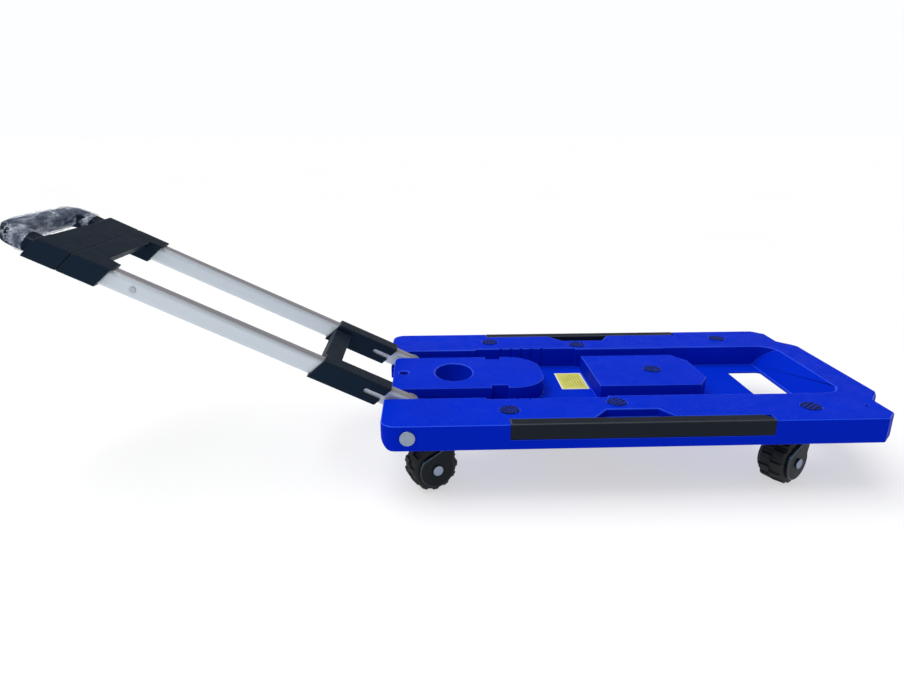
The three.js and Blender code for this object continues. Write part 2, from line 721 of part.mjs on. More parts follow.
for (const [name, y] of [
  ["front", TUBE_Y],
  ["back", -TUBE_Y],
]) {
  place(handle, `outer_tube_${name}`, outerTube(y), ALUMINIUM);
  place(handle, `hinge_plug_${name}`, hingePlug(y), BLACK);
  place(handle, `inner_tube_${name}`, innerTube(y), ALUMINIUM);
  const out = Math.sign(y);
  const face = y + (out * TUBE_WIDE) / 2;
  const between = (a, b) => [Math.min(a, b), Math.max(a, b)];
  const rivet = union(
    rod("y", 2, ...between(face - out * 1.2, face + out * 0.8), [RIVET, 0, 0], 12),
    rod("y", 3.8, ...between(face + out * GAP, face + out * 1.2), [RIVET, 0, 0], 20),
  );
  place(handle, `tube_rivet_${name}`, rivet, STEEL);
}
place(handle, "lock_collar", lockCollar(), BLACK);
place(handle, "lower_housing", lowerHousing(), BLACK);
place(handle, "grip_housing", gripHousing(), BLACK);
place(handle, "release_button", releaseButton(), STEEL);

// ---- put the origin at the bottom centre ----
root.updateMatrixWorld(true);
const box = new THREE.Box3().setFromObject(cart, true);
const middle = box.getCenter(new THREE.Vector3());
cart.position.set(-middle.x, -middle.y, -box.min.z);

export default root;
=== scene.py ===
"""Looks of a folding platform cart: a blue moulded deck on casters with a folding handle."""

import json
import logging
import math
from collections.abc import Iterable
from dataclasses import dataclass, field
from enum import Enum

import bpy
from mathutils import Matrix, Vector, noise


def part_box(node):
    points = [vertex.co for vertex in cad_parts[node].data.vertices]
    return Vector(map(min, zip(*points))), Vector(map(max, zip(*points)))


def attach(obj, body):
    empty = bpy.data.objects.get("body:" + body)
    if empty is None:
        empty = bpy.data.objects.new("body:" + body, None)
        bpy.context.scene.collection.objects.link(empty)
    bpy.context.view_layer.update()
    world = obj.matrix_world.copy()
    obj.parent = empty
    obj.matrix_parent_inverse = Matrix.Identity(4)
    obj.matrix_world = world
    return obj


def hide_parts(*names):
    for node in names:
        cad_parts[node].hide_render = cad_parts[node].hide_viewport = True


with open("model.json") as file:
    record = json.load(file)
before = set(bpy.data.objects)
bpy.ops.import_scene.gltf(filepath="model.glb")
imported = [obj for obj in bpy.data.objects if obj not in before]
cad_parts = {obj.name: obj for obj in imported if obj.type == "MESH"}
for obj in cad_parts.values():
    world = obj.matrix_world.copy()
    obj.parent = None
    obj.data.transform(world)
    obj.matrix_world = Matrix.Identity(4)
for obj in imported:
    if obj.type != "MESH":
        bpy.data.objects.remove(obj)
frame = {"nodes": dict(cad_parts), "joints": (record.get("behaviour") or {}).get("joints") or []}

LOG = logging.getLogger("platform_cart")
MM = 0.001
SIDES = ("front", "back")
CORNERS = ("front_left", "back_left", "front_right", "back_right")
Piece = bpy.types.Object
Material = bpy.types.Material
Socket = bpy.types.NodeSocket
Triple = tuple[float, float, float]


class Slot(Enum):
    """Material slots of the record."""

    BLUE = "blue_plastic"
    BLACK = "black_plastic"
    TYRE = "tyre_rubber"
    PAD = "pad_rubber"
    TUBE = "aluminium_tube"
    ZINC = "zinc_steel"
    BRIGHT = "bright_steel"
    LABEL = "label"


# -------------------------------- finishes


def linear(red: int, green: int, blue: int) -> tuple[float, float, float, float]:
    """A display colour of 0 to 255 a channel as the linear colour that shaders read.

    Args:
        red: red channel.
        green: green channel.
        blue: blue channel.

    Returns:
        Linear red, green and blue, and an alpha of one.
    """

    def channel(value: int) -> float:
        """One channel in linear light.

        Args:
            value: the display value, 0 to 255.

        Returns:
            The linear value, 0 to 1.
        """
        share = value / 255
        return share / 12.92 if share <= 0.04045 else ((share + 0.055) / 1.055) ** 2.4

    return channel(red), channel(green), channel(blue), 1.0


class Shader:
    """A material under construction: one Principled shader and the nodes that feed it."""

    def __init__(self, name: str) -> None:
        """Starts an empty material.

        Args:
            name: the material's name.
        """
        self.material = bpy.data.materials.new(name)
        self.material.use_nodes = True
        self.tree = self.material.node_tree
        self.principled = self.tree.nodes["Principled BSDF"]
        coordinates = self.tree.nodes.new("ShaderNodeTexCoord")
        self.place = coordinates.outputs["Object"]

    def set(self, **values: float | tuple[float, ...]) -> None:
        """Sets sockets of the Principled shader.

        Args:
            values: a value for each socket; an underscore in a name stands for a space.
        """
        for key, value in values.items():
            self.principled.inputs[key.replace("_", " ")].default_value = value

    def link(self, source: Socket, target: str) -> None:
        """Feeds a socket of the Principled shader.

        Args:
            source: the socket that feeds it.
            target: the name of the socket that is fed.
        """
        self.tree.links.new(source, self.principled.inputs[target])

    def node(
        self, kind: str, inputs: dict[str | int, object], **settings: object
    ) -> bpy.types.Node:
        """Adds a node.

        Args:
            kind: the node's type.
            inputs: a value or a source socket for each input.
            settings: the node's own properties.

        Returns:
            The new node.
        """
        made = self.tree.nodes.new(kind)
        for key, value in settings.items():
            setattr(made, key, value)
        for key, value in inputs.items():
            if isinstance(value, Socket):
                self.tree.links.new(value, made.inputs[key])
            else:
                made.inputs[key].default_value = value
        return made

    def mapped(
        self,
        scale: Triple = (1, 1, 1),
        turn: Triple = (0, 0, 0),
        shift: Triple = (0, 0, 0),
    ) -> Socket:
        """Object coordinates, moved and turned and then stretched.

        Args:
            scale: stretch along each axis.
            turn: turn about each axis, in radians.
            shift: move along each axis, in metres.

        Returns:
            The coordinates' socket.
        """
        moved = self.node(
            "ShaderNodeMapping", {"Vector": self.place, "Location": shift, "Rotation": turn}
        )
        return self.node(
            "ShaderNodeMapping", {"Vector": moved.outputs[0], "Scale": scale}
        ).outputs[0]

    def noise(
        self, scale: float, detail: float = 3, rough: float = 0.5, at: Socket | None = None
    ) -> Socket:
        """Soft noise.

        Args:
            scale: features to the metre.
            detail: number of finer layers.
            rough: how strong the finer layers are.
            at: coordinates to read it at, the object's own by default.

        Returns:
            The noise's socket, about 0.3 to 0.7.
        """
        inputs = {"Vector": at or self.place, "Scale": scale, "Detail": detail, "Roughness": rough}
        return self.node("ShaderNodeTexNoise", inputs).outputs[0]

    def math(self, operation: str, first: object, second: object = 0.0) -> Socket:
        """One arithmetic step.

        Args:
            operation: the operation's name.
            first: the first value or socket.
            second: the second value or socket.

        Returns:
            The result's socket.
        """
        inputs = {0: first, 1: second}
        return self.node("ShaderNodeMath", inputs, operation=operation).outputs[0]

    def ramp(
        self, value: Socket, low: float, high: float, start: float = 0, end: float = 1
    ) -> Socket:
        """A value stretched from one range to another and held at its ends.

        Args:
            value: the value's socket.
            low: the value that gives start.
            high: the value that gives end.
            start: the result at low.
            end: the result at high.

        Returns:
            The result's socket.
        """
        inputs = {"Value": value, "From Min": low, "From Max": high, "To Min": start, "To Max": end}
        return self.node("ShaderNodeMapRange", inputs).outputs[0]

    def blend(
        self,
        share: Socket,
        first: tuple[float, ...] | Socket,
        second: tuple[float, ...] | Socket,
    ) -> Socket:
        """A colour between two colours.

        Args:
            share: how much of the second colour is taken.
            first: the first colour or its socket.
            second: the second colour or its socket.

        Returns:
            The colour's socket.
        """
        mixed = self.node("ShaderNodeMix", {}, data_type="RGBA")
        self.tree.links.new(share, mixed.inputs[0])
        for index, colour in ((6, first), (7, second)):
            if isinstance(colour, Socket):
                self.tree.links.new(colour, mixed.inputs[index])
            else:
                mixed.inputs[index].default_value = colour
        return mixed.outputs[2]

    def bump(
        self,
        height: Socket,
        depth: float,
        strength: float = 1.0,
        under: Socket | None = None,
    ) -> Socket:
        """A relief.

        Args:
            height: the height's socket.
            depth: the relief's depth, in metres.
            strength: how much of it shows.
            under: a relief that lies under this one.

        Returns:
            The normal's socket.
        """
        inputs = {"Height": height, "Distance": depth, "Strength": strength}
        if under is not None:
            inputs["Normal"] = under
        return self.node("ShaderNodeBump", inputs).outputs[0]

    def facing_up(self, low: float = 0.93, high: float = 0.99) -> Socket:
        """One on faces that look up, and nothing on the rest.

        Args:
            low: the upward part of a face's normal below which the value is nothing.
            high: the upward part from which it is one.

        Returns:
            The value's socket.
        """
        geometry = self.node("ShaderNodeNewGeometry", {})
        parts = self.node("ShaderNodeSeparateXYZ", {"Vector": geometry.outputs["Normal"]})
        return self.ramp(parts.outputs["Z"], low, high)


@dataclass(frozen=True)
class MouldedPlastic:
    """Injection-moulded plastic with a faint grain, with painted light: a paler colour on faces
    that look up and painted shade on the rest.

    Args:
        name: the material's name.
        top: display colour of faces that look up, a painted lit tone.
        side: display colour of the rest, a painted shade.
        roughness: mean roughness.
        shine: specular level.
        stipple: depth of the anti-slip pattern on flat tops, in metres.
    """

    name: str
    top: tuple[int, int, int]
    side: tuple[int, int, int]
    roughness: float
    shine: float = 0.3
    stipple: float = 0.0

    def build(self) -> Material:
        """Makes the material.

        Returns:
            The material.
        """
        shader = Shader(self.name)
        # Painted light: faces that look up take the lit top colour, and the rest take the side
        # colour as painted shade.
        plain = shader.blend(shader.facing_up(0.1, 0.8), linear(*self.side), linear(*self.top))
        dull = tuple(int(0.93 * channel) for channel in self.side)
        cloud = shader.ramp(shader.noise(9, 4), 0.35, 0.68, 0.3, 0)
        shader.link(shader.blend(cloud, plain, linear(*dull)), "Base Color")
        marks = shader.noise(55, 5, 0.62)
        low, high = self.roughness - 0.07, self.roughness + 0.09
        shader.link(shader.ramp(marks, 0.3, 0.7, low, high), "Roughness")
        grain = shader.bump(shader.noise(900, 2), 0.00006, 0.5)
        if self.stipple:
            turned = shader.mapped(turn=(0, 0, math.radians(45)))
            knurl = shader.node(
                "ShaderNodeTexVoronoi", {"Vector": turned, "Scale": 340.0, "Randomness": 0.15}
            ).outputs[0]
            dots = shader.ramp(knurl, 0.15, 0.6, 1, 0)
            height = shader.math("MULTIPLY", dots, shader.facing_up())
            grain = shader.bump(height, self.stipple, 0.8, grain)
        shader.link(grain, "Normal")
        shader.set(Specular_IOR_Level=self.shine)
        return shader.material


@dataclass(frozen=True)
class SatinTube:
    """Anodised aluminium tube drawn along its length, with painted shade: a darker grey on faces
    that look up.

    Args:
        name: the material's name.
        turn: rotation that lays the drawing lines along X, in radians.
    """

    name: str
    turn: Triple

    def build(self) -> Material:
        """Makes the material.

        Returns:
            The material.
        """
        shader = Shader(self.name)
        lines = shader.noise(1, 3, 0.6, shader.mapped((12, 1500, 1500), self.turn))
        drawn = shader.blend(lines, linear(188, 198, 208), linear(214, 222, 230))
        # Painted shade: faces that look up take this darker grey in place of the drawn colour.
        painted_shade_grey = shader.blend(lines, linear(132, 131, 136), linear(154, 153, 158))
        upward = shader.facing_up(0.5, 0.85)
        shader.link(shader.blend(upward, drawn, painted_shade_grey), "Base Color")
        shader.link(shader.ramp(lines, 0.3, 0.7, 0.34, 0.5), "Roughness")
        shader.link(shader.bump(lines, 0.00003, 0.5), "Normal")
        shader.set(Metallic=0.4, Specular_IOR_Level=0.2)
        return shader.material


@dataclass(frozen=True)
class PlatedSteel:
    """Plated steel with faint swirls from the barrel.

    Args:
        name: the material's name.
        colour: display colour.
        roughness: mean roughness.
    """

    name: str
    colour: tuple[int, int, int]
    roughness: float

    def build(self) -> Material:
        """Makes the material.

        Returns:
            The material.
        """
        shader = Shader(self.name)
        swirl = shader.noise(420, 4, 0.6)
        dark = tuple(int(0.8 * c) for c in self.colour)
        shader.link(shader.blend(swirl, linear(*dark), linear(*self.colour)), "Base Color")
        low, high = self.roughness - 0.06, self.roughness + 0.1
        shader.link(shader.ramp(swirl, 0.3, 0.7, low, high), "Roughness")
        shader.link(shader.bump(shader.noise(1400, 2), 0.00003, 0.4), "Normal")
        shader.set(Metallic=0.95)
        return shader.material


@dataclass(frozen=True)
class Rubber:
    """Matt rubber with dust in its pores.

    Args:
        name: the material's name.
        colour: display colour.
        dust: display colour of the dusty patches.
    """

    name: str
    colour: tuple[int, int, int]
    dust: tuple[int, int, int]

    def build(self) -> Material:
        """Makes the material.

        Returns:
            The material.
        """
        shader = Shader(self.name)
        pores = shader.noise(260, 5, 0.65)
        share = shader.ramp(pores, 0.45, 0.8)
        shader.link(shader.blend(share, linear(*self.colour), linear(*self.dust)), "Base Color")
        shader.link(shader.ramp(pores, 0.3, 0.7, 0.6, 0.82), "Roughness")
        relief = shader.bump(pores, 0.00015, 0.5)
        shader.link(relief, "Normal")
        shader.set(Specular_IOR_Level=0.35)
        return shader.material


@dataclass(frozen=True)
class HatchedRubber:
    """Thin anti-slip rubber with crossing dark bars and the deck's colour between them.

    Args:
        name: the material's name.
        bar: display colour of the bars.
        gap: display colour between them.
        pitch: distance between bars, in metres.
    """

    name: str
    bar: tuple[int, int, int]
    gap: tuple[int, int, int]
    pitch: float

    def build(self) -> Material:
        """Makes the material.

        Returns:
            The material.
        """
        shader = Shader(self.name)
        across = self.bars(shader, math.radians(52))
        back = self.bars(shader, math.radians(-52))
        hatch = shader.math("MAXIMUM", across, back)
        worn = shader.ramp(shader.noise(170, 4, 0.6), 0.3, 0.55, 0.55, 1)
        share = shader.math("MULTIPLY", hatch, worn)
        shader.link(shader.blend(share, linear(*self.gap), linear(*self.bar)), "Base Color")
        shader.link(shader.ramp(share, 0, 1, 0.5, 0.75), "Roughness")
        shader.link(shader.bump(share, 0.0004, 0.8), "Normal")
        shader.set(Specular_IOR_Level=0.05)
        return shader.material

    def bars(self, shader: Shader, turn: float) -> Socket:
        """One set of parallel bars.

        Args:
            shader: the material under construction.
            turn: the bars' turn about Z, in radians.

        Returns:
            A socket that is one on the bars and nothing between them.
        """
        at = shader.node("ShaderNodeSeparateXYZ", {"Vector": shader.mapped(turn=(0, 0, turn))})
        phase = shader.math("MULTIPLY", at.outputs["X"], 2 * math.pi / self.pitch)
        wave = shader.math("SINE", phase)
        return shader.ramp(wave, 0.0, 0.35)


@dataclass(frozen=True)
class LabelPrint:
    """A blank yellow label with a pale border and plain grey bars.

    Args:
        name: the material's name.
        middle: the label's centre in X and Y, in metres.
        half: half its size in X and Y, in metres.
        border: width of the pale border, in metres.
        margin: distance from the label's edge to the bars in X and Y, in metres.
        pitch: distance between bars, in metres.
    """

    name: str
    middle: tuple[float, float]
    half: tuple[float, float]
    border: float = 2.2 * MM
    margin: tuple[float, float] = (6 * MM, 8 * MM)
    pitch: float = 3.6 * MM

    def build(self) -> Material:
        """Makes the material.

        Returns:
            The material.
        """
        shader = Shader(self.name)
        shift = (-self.middle[0], -self.middle[1], 0)
        at = shader.node("ShaderNodeSeparateXYZ", {"Vector": shader.mapped(shift=shift)})
        across = shader.math("ABSOLUTE", at.outputs["X"])
        along = shader.math("ABSOLUTE", at.outputs["Y"])
        inside = shader.math(
            "MULTIPLY",
            shader.math("LESS_THAN", across, self.half[0] - self.border),
            shader.math("LESS_THAN", along, self.half[1] - self.border),
        )
        phase = shader.math("MULTIPLY", at.outputs["X"], 2 * math.pi / self.pitch)
        bars = shader.math("SINE", phase)
        broken = shader.ramp(shader.noise(420, 2, 0.5, shader.mapped((0.3, 1, 1))), 0.42, 0.5)
        rows = shader.math("MULTIPLY", shader.ramp(bars, 0.1, 0.4), broken)
        printed = shader.math("MULTIPLY", rows, 0.5)
        field_of_bars = shader.math(
            "MULTIPLY",
            shader.math("LESS_THAN", across, self.half[0] - self.margin[0]),
            shader.math("LESS_THAN", along, self.half[1] - self.margin[1]),
        )
        ink = shader.math("MULTIPLY", printed, field_of_bars)
        fill = shader.blend(ink, linear(214, 212, 84), linear(70, 70, 60))
        faded = shader.ramp(shader.noise(70, 3), 0.4, 0.7, 0, 0.25)
        fade = shader.blend(faded, fill, linear(226, 222, 140))
        shader.link(shader.blend(inside, linear(236, 238, 214), fade), "Base Color")
        shader.link(shader.ramp(shader.noise(160, 3), 0.3, 0.7, 0.3, 0.45), "Roughness")
        return shader.material


@dataclass(frozen=True)
class ClearFilm:
    """Thin clear film of a cold bluish colour with fine creases, which are painted paler and less
    clear as a highlight.

    Args:
        name: the material's name.
    """

    name: str

    def build(self) -> Material:
        """Makes the material.

        Returns:
            The material.
        """
        shader = Shader(self.name)
        crease = shader.noise(70, 6, 0.7, shader.mapped((1.5, 0.5, 1.5)))
        # Painted highlight: along the creases the film turns from its cold blue to near white and
        # less clear.
        painted_streak_share = shader.ramp(crease, 0.4, 0.66)
        shader.link(shader.blend(painted_streak_share, linear(108, 126, 164), linear(222, 232, 246)), "Base Color")
        shader.link(shader.ramp(crease, 0.42, 0.7, 0.26, 0.7), "Alpha")
        shader.link(shader.bump(crease, 0.0024, 1.0), "Normal")
        shader.set(Roughness=0.08, Specular_IOR_Level=1.0)
        return shader.material


# -------------------------------- modelling helpers


def clear_selection() -> None:
    """Leaves edit mode and deselects everything."""
    if bpy.context.object and bpy.context.object.mode != "OBJECT":
        bpy.ops.object.mode_set(mode="OBJECT")
    bpy.ops.object.select_all(action="DESELECT")


def activate(piece: Piece) -> None:
    """Makes a piece the only selected object.

    Args:
        piece: the object.
    """
    clear_selection()
    piece.select_set(True)
    bpy.context.view_layer.objects.active = piece


def settle(piece: Piece, name: str) -> Piece:
    """Names a piece and puts its place into its mesh.

    Args:
        piece: the object.
        name: its new name.

    Returns:
        The object.
    """
    activate(piece)
    bpy.ops.object.transform_apply(location=True, rotation=True, scale=True)
    piece.name = name
    piece.data.name = name
    return piece


def join(pieces: Iterable[Piece], name: str) -> Piece:
    """Joins pieces into one object.

    Args:
        pieces: the objects to join.
        name: the joined object's name.

    Returns:
        The joined object.
    """
    parts = list(pieces)
    clear_selection()
    for part in parts:
        part.select_set(True)
    bpy.context.view_layer.objects.active = parts[0]
    if len(parts) > 1:
        bpy.ops.object.join()
    return settle(bpy.context.object, name)


def modify(piece: Piece, kind: str, **settings: object) -> None:
    """Adds a modifier, sets it and applies it.

    Args:
        piece: the object.
        kind: the modifier's type.
        settings: the modifier's own properties.
    """
    activate(piece)
    modifier = piece.modifiers.new(kind.title(), kind)
    for key, value in settings.items():
        setattr(modifier, key, value)
    bpy.ops.object.modifier_apply(modifier=modifier.name)


def round_edges(piece: Piece, width: float, segments: int, angle: float = 34) -> None:
    """Rounds every edge sharper than an angle, and smooths the shading.

    The rounded faces take the second material slot, so that a moulding's edges can carry a painted
    highlight.

    Args:
        piece: the object to work on.
        width: how far the rounding reaches from each edge, in metres.
        segments: steps across the rounding.
        angle: the least angle of an edge that is rounded, in degrees.
    """
    while len(piece.data.materials) < 2:
        piece.data.materials.append(None)
    modify(
        piece,
        "BEVEL",
        material=1,
        width=width,
        segments=segments,
        limit_method="ANGLE",
        angle_limit=math.radians(angle),
        use_clamp_overlap=False,
        harden_normals=False,
        miter_outer="MITER_ARC",
    )
    activate(piece)
    bpy.ops.object.shade_smooth_by_angle(angle=math.radians(30))
    modify(piece, "WEIGHTED_NORMAL", weight=100, keep_sharp=True)


def from_frame(node: str, name: str) -> Piece:
    """A merged copy of a frame node, with its flat faces whole again.

    Args:
        node: the frame node.
        name: the new piece's name.

    Returns:
        The new piece.
    """
    source = frame["nodes"][node]
    piece = bpy.data.objects.new(name, source.data.copy())
    bpy.context.scene.collection.objects.link(piece)
    piece.data.materials.clear()
    piece.data.name = name
    activate(piece)
    bpy.ops.object.mode_set(mode="EDIT")
    bpy.ops.mesh.select_all(action="SELECT")
    bpy.ops.mesh.remove_doubles(threshold=2e-6)
    bpy.ops.mesh.dissolve_limited(angle_limit=math.radians(0.4))
    bpy.ops.object.mode_set(mode="OBJECT")
    return piece


def dress(
    piece: Piece,
    material: Material,
    body: str,
    stands_for: Iterable[str] = (),
) -> Piece:
    """Gives a finished piece its materials, body and the nodes it stands for.

    Args:
        piece: the finished piece.
        material: its finish; where one of that name with _edge exists, its edges take that.
        body: the moving body that carries it.
        stands_for: the frame nodes that it replaces.

    Returns:
        The piece.
    """
    edge = bpy.data.materials.get(f"{material.name}_edge")
    if edge and len(piece.data.materials) == 2:
        piece.data.materials[0] = material
        piece.data.materials[1] = edge
    else:
        piece.data.materials.clear()
        piece.data.materials.append(material)
    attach(piece, body)
    nodes = list(stands_for)
    if nodes:
        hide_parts(*nodes)
    LOG.info("%s rides on %s", piece.name, body)
    return piece


def repaint(node: str, material: Material) -> None:
    """Gives a frame node that stays in view its detailed material.

    Args:
        node: the frame node.
        material: its finish.
    """
    slots = frame["nodes"][node].data.materials
    slots.clear()
    slots.append(material)


@dataclass
class Palette:
    """Every finish of the cart, made once.

    Args:
        tube_turn: rotation that lays the tubes' drawing lines along them, in radians.
        label_middle: the label's centre in X and Y, in metres.
        label_half: half the label's size in X and Y, in metres.
        made: the finished materials by name.
    """

    tube_turn: Triple
    label_middle: tuple[float, float]
    label_half: tuple[float, float]
    made: dict[str, Material] = field(default_factory=dict)

    def build(self) -> None:
        """Makes the materials."""
        finishes = (
            # Painted light: each plastic's top colour is a lit tone and its side colour is painted
            # shade. Each _edge finish paints a highlight on the upward side of rounded edges, and
            # rail_black_edge and satin_black_edge paint shade on the downward side.
            MouldedPlastic("deck_blue", (2, 45, 206), (1, 34, 188), 0.45, 0.008, 0.0004),
            MouldedPlastic("deck_blue_edge", (38, 84, 236), (0, 34, 186), 0.32, 0.12),
            MouldedPlastic("rail_black", (30, 35, 44), (28, 34, 42), 0.5, 0.04),
            MouldedPlastic("rail_black_edge", (76, 82, 90), (24, 29, 37), 0.4, 0.1),
            MouldedPlastic("satin_black", (27, 35, 46), (22, 36, 52), 0.45, 0.03),
            MouldedPlastic("satin_black_edge", (44, 56, 70), (14, 20, 28), 0.38, 0.12),
            MouldedPlastic("caster_black", (30, 38, 46), (19, 25, 31), 0.38, 0.12),
            MouldedPlastic("caster_black_edge", (104, 140, 158), (26, 36, 44), 0.28, 0.4),
            SatinTube("drawn_aluminium", self.tube_turn),
            PlatedSteel("zinc_plate", (190, 196, 202), 0.36),
            PlatedSteel("bright_plate", (150, 164, 184), 0.3),
            Rubber("tyre_black", (17, 20, 24), (36, 41, 46)),
            HatchedRubber("grip_pad", (17, 24, 34), (10, 46, 176), 5.2 * MM),
            LabelPrint("yellow_label", self.label_middle, self.label_half),
            ClearFilm("clear_film"),
        )
        for finish in finishes:
            self.made[finish.name] = finish.build()

    def __getitem__(self, name: str) -> Material:
        """A finished material.

        Args:
            name: its name.

        Returns:
            The material.
        """
        return self.made[name]


# -------------------------------- deck and side rails


@dataclass
class Deck:
    """The moulded deck with its pads, label and pivot caps.

    Args:
        palette: the cart's finishes.
        edge: how far the rounding of the deck's edges reaches.
        pad_edge: the same for the pads' rims.
        cap_edge: the same for the pivot caps.
    """

    palette: Palette
    edge: float = 0.65 * MM
    pad_edge: float = 0.3 * MM
    cap_edge: float = 0.6 * MM

    def build(self) -> None:
        """Makes every piece of the deck."""
        self.shell()
        self.pads()
        self.label()
        self.hardware()

    def shell(self) -> None:
        """The deck itself, with every edge rounded."""
        piece = from_frame("deck_shell", "deck_moulding")
        round_edges(piece, self.edge, 2)
        dress(piece, self.palette["deck_blue"], "deck", ["deck_shell"])

    def pads(self) -> None:
        """The round pads, thin hatched discs."""
        for node in sorted(n for n in frame["nodes"] if n.startswith("pad_")):
            low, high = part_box(node)
            radius = (high.x - low.x) / 2
            piece = settle(self.disc((low + high) / 2, radius, low.z, high.z), f"{node}_rubber")
            dress(piece, self.palette["grip_pad"], "deck", [node])

    def disc(self, middle: Vector, radius: float, low: float, high: float) -> Piece:
        """A round pad with a rounded rim.

        Args:
            middle: the pad's centre.
            radius: its radius.
            low: height of its underside.
            high: height of its top.

        Returns:
            The pad.
        """
        clear_selection()
        bpy.ops.mesh.primitive_cylinder_add(
            vertices=48,
            radius=radius,
            depth=high - low,
            location=(middle.x, middle.y, (low + high) / 2),
        )
        disc = bpy.context.object
        round_edges(disc, self.pad_edge, 2, 60)
        return disc

    def label(self) -> None:
        """The label, a thin plate with rounded corners."""
        piece = from_frame("label_plate", "deck_label")
        dress(piece, self.palette["yellow_label"], "deck", ["label_plate"])

    def hardware(self) -> None:
        """The pivot caps, with rounded rims, and the axle between them."""
        for side in SIDES:
            node = f"pivot_cap_{side}"
            piece = from_frame(node, f"pivot_cap_{side}_turned")
            round_edges(piece, self.cap_edge, 3, 60)
            dress(piece, self.palette["bright_plate"], "deck", [node])
        repaint("pivot_axle", self.palette["zinc_plate"])


@dataclass
class SideRails:
    """The two black rails that pull out of the deck's long sides, and their rods.

    Args:
        palette: the cart's finishes.
        edge: how far the rounding of the rails' edges reaches.
    """

    palette: Palette
    edge: float = 0.7 * MM

    def build(self) -> None:
        """Makes both rails."""
        for side in SIDES:
            node = f"side_rail_{side}"
            piece = from_frame(node, f"side_rail_{side}_moulding")
            round_edges(piece, self.edge, 2)
            dress(piece, self.palette["rail_black"], f"rail_{side}", [node])
            for rod in frame["nodes"]:
                if rod.startswith(f"rail_rod_{side}"):
                    repaint(rod, self.palette["zinc_plate"])


# -------------------------------- casters


